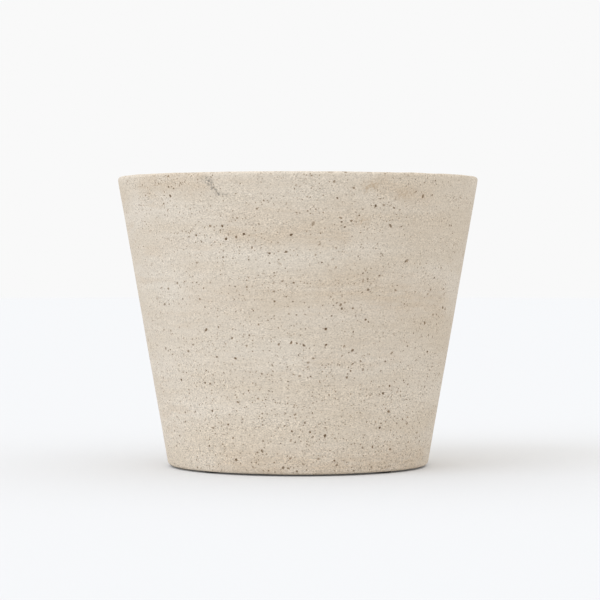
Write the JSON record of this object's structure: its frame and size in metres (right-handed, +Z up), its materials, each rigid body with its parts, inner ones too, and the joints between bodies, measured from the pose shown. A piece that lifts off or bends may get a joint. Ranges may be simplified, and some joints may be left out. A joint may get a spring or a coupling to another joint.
{
  "type": "bucket planter",
  "caption": "Round tapered floor planter cast in pitted grey-beige concrete, wider at the rim than the base, open at the top, with a rubber drain bung and flat rubber foot pads.",
  "frame": {"origin": "centre of the footprint, on the surface that the foot pads stand on", "axes": "+Z up along the pot's axis of revolution; +X and +Y lie between the foot pads, and the bung's pull tab lies along X"},
  "size_m": [0.498, 0.498, 0.4],
  "materials": {
    "concrete": "matt, washed, with open air pits",
    "bung_rubber": "matt moulded",
    "pad_rubber": "matt, die-cut sheet"
  },
  "bodies": {
    "pot": {"planter_body": "concrete", "foot_pad_1": "pad_rubber", "foot_pad_2": "pad_rubber", "foot_pad_3": "pad_rubber", "foot_pad_4": "pad_rubber"},
    "bung": {"drain_bung": "bung_rubber"}
  },
  "joints": [
    {"name": "bung_pull", "type": "slide", "parent": "pot", "child": "bung", "axis": [0, 0, 1], "range_m": [0, 0.4]}
  ]
}
